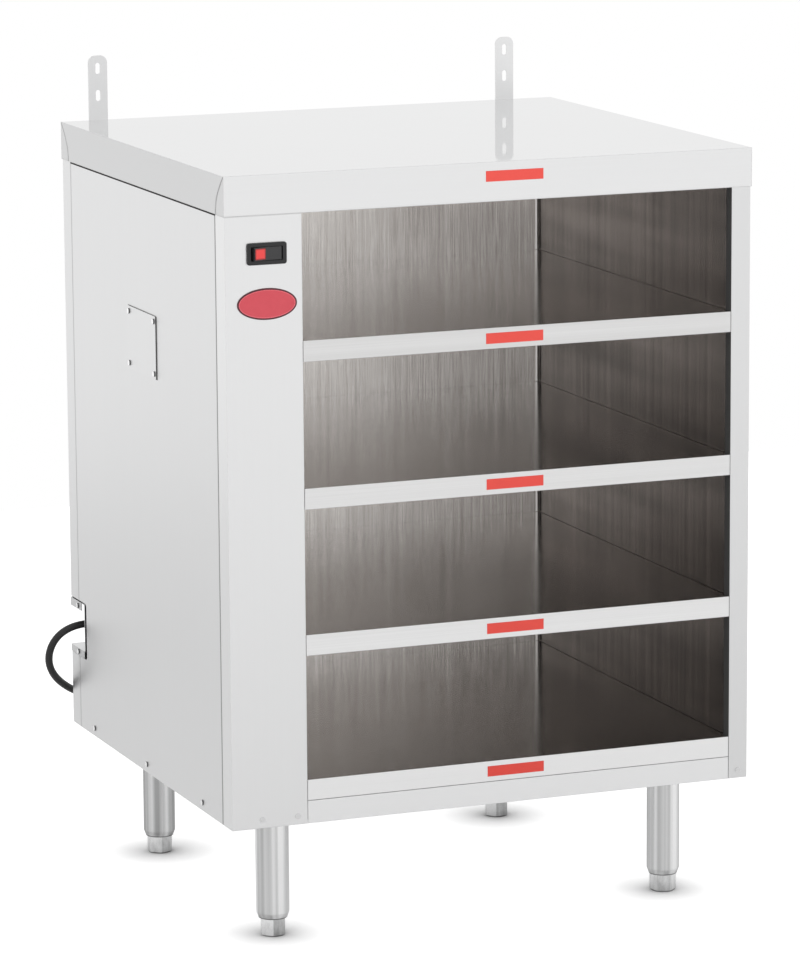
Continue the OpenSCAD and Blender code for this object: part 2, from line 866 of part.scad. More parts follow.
module switch_terminals() {
  color([0.8, 0.7, 0.4]) place() translate([x_switch, housing_d, z_switch]) {
    for (s = [-1, 0, 1])
      span([s * housing_w / 3 - skin_t / 2, 0, -housing_h / 6],
        [s * housing_w / 3 + skin_t / 2, blade_len, housing_h / 6]);
    span([-housing_w / 2, blade_len, -housing_h / 3],
      [x_loom - x_switch + loom_dia / 2, blade_len + plugin_d, housing_h / 3]);
  }
}

module thermostat() {
  color([0.85, 0.85, 0.8]) place()
    bar_x([x_open - liner_t - stat_h, y_access, leg_h + body_h / 2], stat_dia / 2, stat_h);
}

module terminal_block() {
  color([0.9, 0.9, 0.86]) place()
    span([x_block, y_exit - block_len / 2, z_block],
      [x_block + block_w, y_exit + block_len / 2, z_block + block_h]);
}

module wire_loom() {
  r = loom_dia / 2;
  z = z_block + block_h;
  color([0.1, 0.1, 0.1]) place() translate([x_loom, 0, 0]) {
    translate([0, y_exit, z]) cylinder(r = r, h = z_switch - loom_bend - z, $fn = round_fn);
    translate([0, y_exit - loom_bend, z_switch - loom_bend]) rotate([quarter, 0, quarter])
      rotate_extrude(angle = quarter, $fn = round_fn)
        translate([loom_bend, 0]) circle(r = r, $fn = round_fn);
    bar_y([0, y_plugin, z_switch], r, y_exit - loom_bend - y_plugin);
  }
}

module supply_lead() {
  color([0.03, 0.03, 0.03]) place() bar_x([x_exit, y_exit, z_exit], cord_r, x_block - x_exit);
}

module access_plate() {
  color([0.87, 0.88, 0.89]) place() difference() {
    translate([x_left - skin_t, y_access, z_access]) rotate([quarter, 0, quarter])
      linear_extrude(skin_t) rounded(access_w, access_h, access_corner);
    access_holes(shank_dia / 2 + shank_clear);
  }
}

module cord_recess() {
  x1 = x_grip + skin_t;
  y0 = y_recess - skin_t;
  y1 = body_d - skin_t;
  z0 = z_recess - skin_t;
  z1 = z_recess + recess_h;
  color([0.8, 0.81, 0.82]) place() difference() {
    union() {
      span([x_left, y0, z0], [x1, y_recess, z1 + skin_t]);
      span([x_grip, y0, z0], [x1, y1, z1 + skin_t]);
      span([x_left, y0, z0], [x1, y1, z_recess]);
      span([x_left, y0, z1], [x1, y1, z1 + skin_t]);
      span([x_left - skin_t, y_recess + recess_tab, z1 - recess_tab], [x_left, y1, z1 + skin_t]);
      span([x_left - skin_t, y0, z_recess - recess_tab], [x_left, y1, z_recess]);
    }
    bar_x([x_grip - over, y_exit, z_exit], bush_neck / 2, skin_t + 2 * over);
  }
}

module cord_bushing() {
  t = bush_flange;
  wall = skin_t + t;
  color([0.05, 0.05, 0.05]) place() translate([x_grip + wall, y_exit, z_exit]) rotate([0, -quarter, 0])
    rotate_extrude($fn = round_fn) polygon([
      [cord_r, 0],
      [bush_dia / 2, 0],
      [bush_dia / 2, t],
      [bush_neck / 2, t],
      [bush_neck / 2, wall],
      [bush_dia / 2, wall],
      [bush_dia / 2, wall + t],
      [relief_root / 2, wall + t],
      [relief_end / 2, wall + t + relief_len],
      [cord_r, wall + t + relief_len]
    ]);
}

// a tube along the points p with n sides
module tube(p, n, first) {
  m = sides(p, 0, first);
  last = len(p) - 1;
  pts = [for (i = [0 : last]) let (t = heading(p, i), b = cross(t, m[i])) for (k = [0 : n - 1])
    p[i] + cord_r * (cos(full_turn * k / n) * m[i] + sin(full_turn * k / n) * b)];
  walls = [for (i = [0 : last - 1]) for (k = [0 : n - 1]) for (h = [0, 1])
    let (a = i * n + k, b = i * n + (k + 1) % n) h == 0 ? [a, a + n, b] : [b, a + n, b + n]];
  polyhedron(pts, concat([[for (k = [0 : n - 1]) k]], walls,
    [[for (k = [0 : n - 1]) last * n + n - 1 - k]]));
}

module cord_free() {
  color([0.03, 0.03, 0.03]) place() tube(free_path, route_sides, [0, 0, 1]);
}

module cord_coil() {
  color([0.03, 0.03, 0.03]) place() tube(coil_path, coil_sides, [0, 0, 1]);
}

module coil_tie() {
  x0 = coil_x + coil_r - coil_pitch - coil_dip - cord_r - tie_clear;
  x1 = coil_x + coil_first + cord_r + tie_clear;
  z1 = z_plug + cord_r + tie_clear;
  color([0.12, 0.12, 0.13]) place() difference() {
    span([x0 - tie_t, coil_y - tie_w / 2, 0], [x1 + tie_t, coil_y + tie_w / 2, z1 + tie_t]);
    span([x0, coil_y - tie_w / 2 - over, tie_t], [x1, coil_y + tie_w / 2 + over, z1]);
  }
}

module plug_body() {
  neck = plug_len / 3;
  color([0.04, 0.04, 0.04]) place() translate([x_plug, y_plug, 0]) {
    span([-plug_len, -plug_w / 2, 0], [-neck, plug_w / 2, 2 * z_plug]);
    translate([-neck, 0, z_plug]) rotate([0, quarter, 0])
      cylinder(r1 = plug_w / 2 - tie_t, r2 = cord_r, h = neck, $fn = round_fn);
  }
}

module plug_blades() {
  t = plug_w / 18;
  w = plug_w / 9;
  color([0.8, 0.7, 0.4]) place() translate([x_plug - plug_len, y_plug, z_plug]) {
    for (s = [-1, 1])
      span([-plug_blade_len, s * plug_w / 4 - t / 2, -w], [0, s * plug_w / 4 + t / 2, w]);
    translate([-plug_blade_len, 0, -z_plug / 2]) rotate([0, quarter, 0])
      cylinder(d = w, h = plug_blade_len, $fn = round_fn);
  }
}

// outline of a strap, drawn with its upper end at y = 0
module strap_shape() {
  h = strap_rise + strap_drop;
  translate([-strap_w / 2, -h]) square([strap_w, h - strap_corner]);
  translate([-strap_w / 2 + strap_corner, -h]) square([strap_w - 2 * strap_corner, h]);
  for (s = [-1, 1])
    translate([s * (strap_w / 2 - strap_corner), -strap_corner]) circle(r = strap_corner, $fn = round_fn);
}

module slot_shape() {
  bar = slot_len - slot_w;
  square([slot_w, bar], center = true);
  for (s = [-1, 1]) translate([0, s * bar / 2]) circle(d = slot_w, $fn = round_fn);
}

module strap(x) {
  color([0.85, 0.86, 0.87]) place() difference() {
    translate([x, y_strap + strap_t, z_strap]) rotate([quarter, 0, 0]) linear_extrude(strap_t)
      difference() {
        strap_shape();
        for (d = [slot_top, slot_top + slot_pitch]) translate([0, -d]) slot_shape();
      }
    strap_holes(shank_dia / 2 + shank_clear);
  }
}

module strap_left() {
  strap(x_strap_left);
}

module strap_right() {
  strap(x_strap_right);
}

module strap_screws() {
  y = y_strap + strap_t;
  tail = skin_t + lid_t + strap_t + shank_tail;
  color([0.75, 0.75, 0.77]) place() for (x = [x_strap_left, x_strap_right]) for (s = strap_screw_shares) {
    z = z_top + lid_t - s * strap_drop;
    bar_y([x, y, z], head_dia / 2, head_h);
    bar_y([x, y - tail, z], shank_dia / 2, tail + head_h / 2);
  }
}

// a screw with its head on the plane through a, pointing along +x or -x
module side_screw(a, s, depth) {
  translate(a) mirror([s < 0 ? 1 : 0, 0, 0]) {
    bar_x([-head_h, 0, 0], head_dia / 2, head_h);
    bar_x([-head_h / 2, 0, 0], shank_dia / 2, head_h / 2 + depth);
  }
}

module panel_screws() {
  depth = 2 * skin_t + shank_tail;
  color([0.75, 0.75, 0.77]) place() {
    for (s = side_screw_shares) {
      side_screw([x_left, s * body_d, z_screw], 1, depth);
      side_screw([x_right, s * body_d, z_screw], -1, depth);
    }
    for (x = concat([for (s = front_screw_shares) x_left + s * panel_w], [x_wall + wall_w / 2])) {
      bar_y([x, -head_h, z_screw], head_dia / 2, head_h);
      bar_y([x, -head_h / 2, z_screw], shank_dia / 2, head_h / 2 + depth);
    }
    for (sy = [-1, 1]) for (sz = [-1, 1])
      side_screw([x_left - skin_t, y_access + sy * access_xs, z_access + sz * access_zs], 1, depth);
    for (z = [z_recess - recess_tab / 2, z_recess + recess_h - recess_tab / 2])
      bar_x([x_left - skin_t - head_h, y_recess + rivet_share * recess_d, z], head_dia / 2, head_h);
  }
}

module name_plate() {
  color([0.5, 0.03, 0.05]) place() translate([x_switch, 0, z_top - name_drop])
    rotate([quarter, 0, 0]) linear_extrude(name_t) polygon([for (i = [0 : oval_fn - 1])
      [name_w / 2 * cos(full_turn * i / oval_fn), name_h / 2 * sin(full_turn * i / oval_fn)]]);
}

module strips() {
  color([0.85, 0.12, 0.1]) place() {
    span([strip_x - strip_w / 2, -lid_t - strip_t, z_top - fascia_h / 3 - strip_h / 2],
      [strip_x + strip_w / 2, -lid_t, z_top - fascia_h / 3 + strip_h / 2]);
    for (n = [1 : shelf_count])
      span([strip_x - strip_w / 2, -strip_t, shelf_z(n) - shelf_t / 2 - strip_h / 2],
        [strip_x + strip_w / 2, 0, shelf_z(n) - shelf_t / 2 + strip_h / 2]);
  }
}

lid_cover();
control_panel();
left_side_panel();
right_side_panel();
back_panel();
left_liner();
right_liner();
back_liner();
ceiling_liner();
base_pan();
base_rail();
shelf_1();
shelf_2();
shelf_3();
shelf_4();
heater_1();
heater_2();
heater_3();
heater_4();
cover_1();
cover_2();
cover_3();
cover_4();
brackets();
insulation();
leg_fl();
leg_fr();
leg_bl();
leg_br();
leg_plates();
leg_bolts();
foot_fl();
foot_fr();
foot_bl();
foot_br();
switch_housing();
rocker();
rocker_lens();
rocker_pin();
switch_terminals();
thermostat();
terminal_block();
wire_loom();
supply_lead();
access_plate();
cord_recess();
cord_bushing();
cord_free();
cord_coil();
coil_tie();
plug_body();
plug_blades();
strap_left();
strap_right();
strap_screws();
panel_screws();
name_plate();
strips();
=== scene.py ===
# %% [markdown]
# A hot cupboard for a serving counter: a cabinet of satin stainless sheet on four legs, open at the
# front, with four heated shelves. The solid model comes in as a fixed frame, in metres. This lesson
# adds what the solids lack: the camera, the light, the finish of every surface, and the few pieces that
# are easier to shape as meshes, such as the supply cord and the name plate.

# %% Load the frame
import bpy
import bmesh
import math
from mathutils import Matrix, Vector


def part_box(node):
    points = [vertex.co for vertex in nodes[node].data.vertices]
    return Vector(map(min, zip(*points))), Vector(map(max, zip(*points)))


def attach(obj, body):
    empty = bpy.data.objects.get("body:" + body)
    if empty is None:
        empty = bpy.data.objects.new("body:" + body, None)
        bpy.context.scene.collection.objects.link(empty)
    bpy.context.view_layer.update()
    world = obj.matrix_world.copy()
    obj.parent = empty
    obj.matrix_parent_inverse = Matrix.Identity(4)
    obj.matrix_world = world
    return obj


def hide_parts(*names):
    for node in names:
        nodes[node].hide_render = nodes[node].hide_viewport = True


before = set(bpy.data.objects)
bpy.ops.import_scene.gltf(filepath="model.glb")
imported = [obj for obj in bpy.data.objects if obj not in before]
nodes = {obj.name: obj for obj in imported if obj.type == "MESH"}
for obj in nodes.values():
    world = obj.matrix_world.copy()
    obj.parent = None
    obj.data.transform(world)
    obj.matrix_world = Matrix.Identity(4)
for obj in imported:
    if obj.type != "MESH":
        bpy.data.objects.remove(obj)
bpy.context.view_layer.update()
scene = bpy.context.scene
scene.view_settings.view_transform = "Standard"

# %% [markdown]
# The camera. The photograph is taken from far away with a long lens, a little above the object and
# from its left. A pinhole camera was fitted to the corners of the cabinet, so its place is written as
# an azimuth, an elevation and a distance from a target point near the middle of the cabinet. Shift and
# depth of field stay at zero, so that any other view shows the same lens.

# %% Camera
AZIMUTH, ELEVATION, ROLL = math.radians(-21.599), math.radians(10.793), math.radians(-0.392)
DISTANCE, CLIP_END = 6.0, 50.0
TARGET = Vector((-0.0171, -0.0444, 0.4872))
FOCAL_PIXELS, LONG_SIDE_PIXELS, SENSOR = 4945.0, 975.0, 36.0
UP = Vector((0, 0, 1))


def camera_axes(azimuth, elevation, roll):
    """Right, up and backward directions of a camera that looks at the object."""
    back = Vector((
        math.sin(azimuth) * math.cos(elevation),
        -math.cos(azimuth) * math.cos(elevation),
        math.sin(elevation),
    ))
    right = UP.cross(back).normalized()
    up = back.cross(right)
    turn = Matrix.Rotation(roll, 3, back)
    return turn @ right, turn @ up, back


right, up, back = camera_axes(AZIMUTH, ELEVATION, ROLL)
lens = bpy.data.cameras.new("studio_camera")
lens.sensor_fit = "AUTO"
lens.sensor_width = SENSOR
lens.lens = FOCAL_PIXELS * SENSOR / LONG_SIDE_PIXELS
lens.clip_end = CLIP_END
camera = bpy.data.objects.new("studio_camera", lens)
scene.collection.objects.link(camera)
spot = TARGET + back * DISTANCE
camera.matrix_world = Matrix((
    (right.x, up.x, back.x, spot.x),
    (right.y, up.y, back.y, spot.y),
    (right.z, up.z, back.z, spot.z),
    (0, 0, 0, 1),
))
scene.camera = camera
print("lens", round(lens.lens, 1), "mm at", [round(v, 3) for v in spot])

# %% [markdown]
# The supply cord is a fixed length of something flexible. It leaves the tapered bushing in the recess
# of the rear left edge, bends down in a loop beside the corner and falls behind the cabinet to the
# floor. The rest lies in a tied coil, where the cabinet hides it. The points of the free stretch are
# the ones that the solid cord follows, in cord diameters from the exit. A spiral that goes in, up a
# layer and out again makes the coil.

# %% Route of the cord
CORD_D = 0.0095
COIL_R = 11 * CORD_D / 2
TURN_GAP = 0.0012
TURN_PITCH = CORD_D + TURN_GAP
TIE_T = 0.0012
COIL_DIP = CORD_D * 0.35
COIL_Z = CORD_D / 2 + TIE_T
TOP_Z = COIL_Z + TURN_PITCH
TURNS, RISE = 2, 0.5
RINGS, CURVE_STEPS = 24, 6

exit_low, exit_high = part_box("cord_bushing")
EXIT = Vector((exit_low[0], (exit_low[1] + exit_high[1]) / 2, (exit_low[2] + exit_high[2]) / 2))
COIL = EXIT + CORD_D * Vector((53, 24.2, 0))
FIRST_R = COIL_R + TURN_PITCH

FREE_STEPS = [
    (0, 0, 0), (-1.1, 0, 0), (-2.6, 0.1, -0.35), (-3.9, 0.4, -1.15), (-4.8, 0.8, -2.35),
    (-5.2, 1.3, -3.8), (-5.1, 1.8, -5.3), (-4.5, 2.3, -6.7), (-3.5, 2.8, -7.95), (-2.1, 3.3, -9.1),
    (-0.3, 3.8, -10.2), (2.2, 4.5, -11.85), (5.6, 5.4, -13.95), (10, 6.6, -16.45), (15, 8, -19),
    (20.5, 9.7, -21.5), (26.5, 11.7, -23.8), (33, 13.8, -25.9), (39, 15.6, -27.4), (44, 16.9, -28.2),
]
ENTRY_STEPS = (5, 2.5, 1)
free_points = [EXIT + CORD_D * Vector(step) for step in FREE_STEPS]
free_points += [Vector((COIL.x - CORD_D * step, COIL.y - FIRST_R, COIL_Z)) for step in ENTRY_STEPS]


def coil_point(turn):
    """A point of the coil after that many turns: in, up a layer, and out again."""
    angle = 2 * math.pi * turn
    if turn < TURNS:
        radius, height = FIRST_R - TURN_PITCH * turn, COIL_Z
    elif turn > TURNS + RISE:
        radius, height = COIL_R - TURN_PITCH + TURN_PITCH * (turn - TURNS - RISE), TOP_Z
    else:
        part = math.pi * (turn - TURNS) / RISE
        radius = COIL_R - TURN_PITCH - COIL_DIP * math.sin(part)
        height = COIL_Z + TURN_PITCH * (1 - math.cos(part)) / 2
    return Vector((COIL.x + radius * math.sin(angle), COIL.y - radius * math.cos(angle), height))


def smooth(points, steps):
    """Points of a smooth curve through the given ones."""
    out = []
    for i in range(len(points) - 1):
        a, b = points[max(i - 1, 0)], points[i]
        c, d = points[i + 1], points[min(i + 2, len(points) - 1)]
        for j in range(steps):
            t = j / steps
            out.append(0.5 * (2 * b + (c - a) * t + (2 * a - 5 * b + 4 * c - d) * t * t
                              + (3 * b - 3 * c + d - a) * t ** 3))
    return out + [points[-1]]


ring_count = int((2 * TURNS + RISE) * RINGS)
cord_points = smooth(free_points, CURVE_STEPS)
cord_points += [coil_point(i / RINGS) for i in range(ring_count + 1)]
tail_x, tail_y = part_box("plug_body")[1][0], COIL.y + FIRST_R
cord_points += [Vector(((COIL.x + tail_x) / 2, tail_y, TOP_Z)), Vector((tail_x, tail_y, TOP_Z))]
cord_length = sum((b - a).length for a, b in zip(cord_points, cord_points[1:]))
print("cord", round(cord_length, 3), "m in", len(cord_points), "points")

# %% [markdown]
# A bevelled curve could hold the cord, but a mesh that is swept along the points keeps its own size
# and exports as it is. Each ring starts from the direction of the ring before it, so that the tube
# doesn't twist.

# %% Cord as a swept tube
CORD_SIDES = 12


def add_piece(name, shape):
    """Turns a bmesh into an object of the scene that rides on the cabinet."""
    mesh = bpy.data.meshes.new(name)
    shape.to_mesh(mesh)
    shape.free()
    made = bpy.data.objects.new(name, mesh)
    scene.collection.objects.link(made)
    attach(made, "cabinet")
    return made


def swept_tube(points, radius, sides):
    """A closed tube along the points."""
    shape = bmesh.new()
    rings = []
    across = UP
    turns = [2 * math.pi * k / sides for k in range(sides)]
    for i, point in enumerate(points):
        ahead = (points[min(i + 1, len(points) - 1)] - points[max(i - 1, 0)]).normalized()
        across = (across - ahead * across.dot(ahead)).normalized()
        other = ahead.cross(across)
        ring = [point + radius * (math.cos(t) * across + math.sin(t) * other) for t in turns]
        rings.append([shape.verts.new(place) for place in ring])
    for first, second in zip(rings, rings[1:]):
        for k in range(sides):
            n = (k + 1) % sides
            shape.faces.new((first[k], first[n], second[n], second[k])).smooth = True
    shape.faces.new(rings[0][::-1])
    shape.faces.new(rings[-1])
    return shape


cord = add_piece("supply_cord", swept_tube(cord_points, CORD_D / 2, CORD_SIDES))
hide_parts("cord_free", "cord_coil")
print("cord leaves at", [round(v, 3) for v in EXIT])

# %% [markdown]
# Shader maths reads best as plain expressions. The class below wraps one output socket, so that
# `1 - mask` or `grain * 0.2 + 0.3` adds the Math nodes by itself. Every other node comes from one
# method, which takes the node's type, its settings and the values or links of its inputs.

# %% Socket expressions
class Out:
    """One output socket, with the operators that this lesson uses."""

    def __init__(self, sheet, socket):
        self.sheet, self.socket = sheet, socket

    def maths(self, operation, *values, clamp=False):
        return self.sheet.node("ShaderNodeMath", {"operation": operation, "use_clamp": clamp},
                               dict(enumerate(values)))

    def __add__(self, other):
        return self.maths("ADD", self, other)

    def __radd__(self, other):
        return self.maths("ADD", other, self)

    def __sub__(self, other):
        return self.maths("SUBTRACT", self, other)

    def __rsub__(self, other):
        return self.maths("SUBTRACT", other, self)

    def __mul__(self, other):
        return self.maths("MULTIPLY", self, other)

    def __rmul__(self, other):
        return self.maths("MULTIPLY", other, self)

    def __truediv__(self, other):
        return self.maths("DIVIDE", self, other)

    def __rtruediv__(self, other):
        return self.maths("DIVIDE", other, self)

    def __pow__(self, other):
        return self.maths("POWER", self, other)

    def __rpow__(self, other):
        return self.maths("POWER", other, self)

    def __abs__(self):
        return self.maths("ABSOLUTE", self)

    def wave(self):
        return self.maths("SINE", self)

    def clamped(self):
        return self.maths("ADD", self, 0, clamp=True)

    def above(self, level):
        return self.maths("GREATER_THAN", self, level)

    def below(self, level):
        return self.maths("LESS_THAN", self, level)


print("expressions ready")


# %% [markdown]
# A node sheet is one material, or the world, while its nodes are being laid out. Its small methods
# name the things that all the finishes need: where a point is on the resting object, which way it
# faces, a noise that may be drawn out along a grain, a narrow line, and a colour between two. Most
# finishes are a plain value that a few noises move up and down a little, which `varied` adds up.

# %% Node sheet
LINE_SOFT = 0.0002
BEVEL_SAMPLES = 4
NOISE_MEAN = 0.5
FACING = 0.5


class NodeSheet:
    """The nodes of a material or a world under construction."""

    def __init__(self, owner, output):
        owner.use_nodes = True
        self.owner, self.tree = owner, owner.node_tree
        self.tree.nodes.clear()
        self.output = self.tree.nodes.new(output)

    def node(self, kind, settings=None, values=None, out=0):
        made = self.tree.nodes.new(kind)
        for key, value in (settings or {}).items():
            setattr(made, key, value)
        for key, value in (values or {}).items():
            if isinstance(value, Out):
                self.tree.links.new(value.socket, made.inputs[key])
            else:
                made.inputs[key].default_value = value
        return Out(self, made.outputs[out])

    def part(self, vector, axis):
        return self.node("ShaderNodeSeparateXYZ", {}, {"Vector": vector}, out=axis)

    def where(self, axis):
        """A coordinate on the resting object, in metres."""
        return self.part(self.node("ShaderNodeTexCoord", out="Object"), axis)

    def faces(self, axis):
        """One where the surface faces along the axis, minus one where it faces against it."""
        return self.part(self.node("ShaderNodeTexCoord", out="Normal"), axis)

    def noise(self, scale, stretch=(1, 1, 1), detail=2.0, roughness=0.6):
        spread = self.node("ShaderNodeMapping", {"vector_type": "POINT"},
                           {"Vector": self.node("ShaderNodeTexCoord", out="Object"), "Scale": stretch})
        return self.node("ShaderNodeTexNoise", {},
                         {"Vector": spread, "Scale": scale, "Detail": detail, "Roughness": roughness})

    def line(self, axis, start, end):
        """One between two places along an axis, and zero outside them."""
        middle, half = (start + end) / 2, abs(end - start) / 2
        return ((half - abs(self.where(axis) - middle)) / LINE_SOFT + 0.5).clamped()

    def tint(self, factor, dark, light):
        """A colour between two, by a factor from 0 to 1."""
        ends = [value if isinstance(value, Out) else (*value, 1) for value in (dark, light)]
        return self.node("ShaderNodeMix", {"data_type": "RGBA"},
                         {"Factor": factor, "A": ends[0], "B": ends[1]}, out="Result")

    def bump(self, height, strength, distance, normal=None):
        values = {"Height": height, "Strength": strength, "Distance": distance}
        if normal is not None:
            values["Normal"] = normal
        return self.node("ShaderNodeBump", {}, values)

    def rounded(self, radius):
        """Normals that soften a folded edge."""
        return self.node("ShaderNodeBevel", {"samples": BEVEL_SAMPLES}, {"Radius": radius})

    def finish(self, shader):
        self.tree.links.new(shader.socket, self.output.inputs["Surface"])
        return self.owner

    def surface(self, **sockets):
        values = {key.replace("_", " ").title(): value for key, value in sockets.items()}
        return self.finish(self.node("ShaderNodeBsdfPrincipled", {}, values))


def new_finish(name):
    return NodeSheet(bpy.data.materials.new(name), "ShaderNodeOutputMaterial")


def varied(value, *swings):
    """A value that noises move up and down. Each swing is a noise and how far it moves the value."""
    for noise, reach in swings:
        value = value + reach * (noise - NOISE_MEAN)
    return value.clamped()


print("node sheet ready")

# %% [markdown]
# Satin stainless is a metal whose fine grain runs one way. Its colour hardly varies, and the grain
# shows as long thin streaks in the roughness and in a very small bump. A picture of brushed metal would
# do in a game, but a noise that is drawn out along the grain has no seams and no fixed size. Broad soft
# patches stand for handling and for the mill's own variation. A finish may also have `shade_marks`: a
# mask of painted shade, which darkens the narrow joints where sheets meet and some faces at the edges
# of the opening and of the access plate.

# %% Satin steel
UPRIGHT, ALONG, LEVEL = (1, 1, 0.004), (0.004, 1, 1), (0.06, 0.06, 1)
FINE, WIDE, BROAD = 1100, 130, 4
FINE_SHARE, WIDE_SHARE, BROAD_SHARE = 0.4, 0.3, 0.3
GRAIN_BUMP, HAIRLINE = 0.2, 0.00002
JOINT_SHADE, JOINT_ROUGH = (0.045, 0.044, 0.043), 0.4
COOL = (1, 1.002, 1.005)


def satin_steel(name, light, dark, grain, rough, shade_marks=None, edge=0.0, relief=HAIRLINE):
    """Brushed stainless: light and dark are its two tones, grain the direction of the streaks."""
    sheet = new_finish(name)
    fine = sheet.noise(FINE, grain)
    wide = sheet.noise(WIDE, grain)
    broad = sheet.noise(BROAD)
    tone = (fine * FINE_SHARE + wide * WIDE_SHARE + broad * BROAD_SHARE).clamped()
    colour = sheet.tint(tone, dark, light)
    matt = varied(rough, (fine, 0.08), (broad, 0.06))
    # Where the mask is one, the colour is painted near black as shade.
    if shade_marks:
        mask = shade_marks(sheet)
        colour = sheet.tint(mask, colour, JOINT_SHADE)
        matt = matt + JOINT_ROUGH * mask
    folds = sheet.rounded(edge) if edge else None
    return sheet.surface(base_color=colour, metallic=1.0, roughness=matt.clamped(),
                         normal=sheet.bump(fine, GRAIN_BUMP, relief, folds))


def grey(level):
    """A very slightly cool grey."""
    return tuple(level * share for share in COOL)


plain_steel = satin_steel("plain_steel", grey(0.70), grey(0.56), ALONG, 0.38)
# The cord recess and its tabs get a darker tone than the side sheet, as painted shade for the recess.
recess_steel = satin_steel("recess_steel", grey(0.72), grey(0.58), UPRIGHT, 0.30, edge=0.0006)
strap_steel = satin_steel("strap_steel", grey(0.85), grey(0.77), UPRIGHT, 0.30, edge=0.0005)
print("plain steels made")

# %% [markdown]
# The outer sheets. Each side panel stops just under the skirt of the lid and short of the sheets that
# wrap round the corners, so thin joints frame it. The shade in them is painted into the finish as dark
# lines, at the places that the frame gives, because a gap of a millimetre is too small for the light to
# show. A joint has a width in metres and a darkness of painted shade, which is less than one where
# light gets into it.

# %% Outer sheets
SKIRT_JOINT, FASCIA_JOINT, WRAP_JOINT = 0.0024, 0.0012, 0.0026
COVER_JOINT, COVER_TOP_JOINT = 0.0024, 0.0009
FRONT_DARK, REAR_DARK, FASCIA_DARK, RETURN_DARK = 0.55, 0.20, 0.20, 0.75
COVER_DARK, COVER_TOP_DARK, COVER_EDGE_DARK = 0.7, 0.5, 0.8
lid_low, lid_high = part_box("lid_cover")
side_low, side_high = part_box("left_side_panel")
cover_low, cover_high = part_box("access_plate")


def side_joint_shade(sheet):
    # Painted shade: dark lines in the joints under the skirt, at the front and rear wraps and round the
    # access plate.
    under_skirt = sheet.line("Z", lid_low[2] - SKIRT_JOINT, lid_low[2])
    front = FRONT_DARK * sheet.line("Y", side_low[1], side_low[1] + WRAP_JOINT)
    rear = REAR_DARK * sheet.line("Y", side_high[1] - WRAP_JOINT, side_high[1])
    beside_cover = sheet.line("Y", cover_low[1] - COVER_JOINT, cover_low[1])
    beside_cover = beside_cover * sheet.line("Z", cover_low[2], cover_high[2])
    over_cover = sheet.line("Z", cover_high[2], cover_high[2] + COVER_TOP_JOINT)
    over_cover = over_cover * sheet.line("Y", cover_low[1], cover_high[1])
    round_cover = COVER_DARK * beside_cover + COVER_TOP_DARK * over_cover
    return (under_skirt + front + rear + round_cover).clamped()


def panel_joint_shade(sheet):
    # Painted shade: a dark line under the fascia, and the return that faces into the opening made
    # darker.
    under_fascia = FASCIA_DARK * sheet.line("Z", lid_low[2] - FASCIA_JOINT, lid_low[2])
    return (under_fascia + RETURN_DARK * sheet.faces("X").above(FACING)).clamped()


def post_joint_shade(sheet):
    # Painted shade: a dark line under the skirt on the outer face, and the return that faces into the
    # opening made darker.
    under_skirt = sheet.line("Z", lid_low[2] - SKIRT_JOINT, lid_low[2])
    under_skirt = under_skirt * sheet.faces("X").above(FACING)
    return (under_skirt + RETURN_DARK * sheet.faces("X").below(-FACING)).clamped()


def cover_edge_shade(sheet):
    # Painted shade on the thin edge faces of the access plate.
    return COVER_EDGE_DARK * abs(sheet.faces("X")).below(FACING)


side_steel = satin_steel("side_steel", grey(0.79), grey(0.75), UPRIGHT, 0.38, side_joint_shade)
# The control panel is given a paler tone than the side panel, as painted light on the front.
panel_steel = satin_steel("panel_steel", grey(0.83), grey(0.79), UPRIGHT, 0.34, panel_joint_shade, 0.0012)
post_steel = satin_steel("post_steel", grey(0.77), grey(0.73), UPRIGHT, 0.34, post_joint_shade)
cover_steel = satin_steel("cover_steel", grey(0.79), grey(0.75), UPRIGHT, 0.36, cover_edge_shade)
rail_steel = satin_steel("rail_steel", grey(0.88), grey(0.84), ALONG, 0.32, edge=0.0008)
back_steel = satin_steel("back_steel", grey(0.80), grey(0.74), UPRIGHT, 0.38)
print("outer sheets made")

# %% [markdown]
# The screws and rivets of the left side stand on the sheet, painted as small bright discs with a dark
# edge: a painted highlight on the cap and painted shade on the wall of the head. The screws of the
# front are nearly flush and take the tone of the sheet. Which side a screw is on is read from its
# place, and the wall of its head from the way that the face looks.

# %% Screws
FRONT_HEAD, SIDE_GAIN, WALL_DROP = 0.74, 0.26, 0.92
HEAD_FACING = 0.8


def screw_finish(name):
    sheet = new_finish(name)
    on_side = sheet.where("X").below(side_low[0])
    wall = on_side * sheet.faces("X").above(-HEAD_FACING)
    fine = sheet.noise(FINE, ALONG)
    # Painted highlight on the side caps and painted shade on the walls of their heads.
    tone = varied(FRONT_HEAD + SIDE_GAIN * on_side - WALL_DROP * wall, (fine, 0.1))
    return sheet.surface(
        base_color=sheet.tint(tone, grey(0.06), grey(0.98)),
        metallic=1.0,
        roughness=varied(0.26, (fine, 0.08)),
        normal=sheet.bump(fine, GRAIN_BUMP, HAIRLINE),
    )


screw_steel = screw_finish("screw_steel")
print("screws made")

# %% [markdown]
# The lid is one folded sheet. Its top is polished nearly to a mirror, so that it doubles the wall
# straps, while the fascia and the skirts are satin. The top and the skirts are given a darker colour
# than the fascia, as painted shade, and the curved lap joints at the corners of the skirts are painted
# as dark lines of shade. The three are told apart by the way that each face looks, which stays with the
# object.

# %% Lid
LAP, LAP_LINE, LAP_DARK = 0.028, 0.0026, 0.6
FASCIA_TONE, TOP_DROP, SKIRT_DROP = 0.68, 0.51, 0.56
FASCIA_ROUGH, TOP_POLISH = 0.30, 0.26
LID_BUMP, LID_RELIEF, LID_EDGE = 0.1, 0.000004, 0.0016


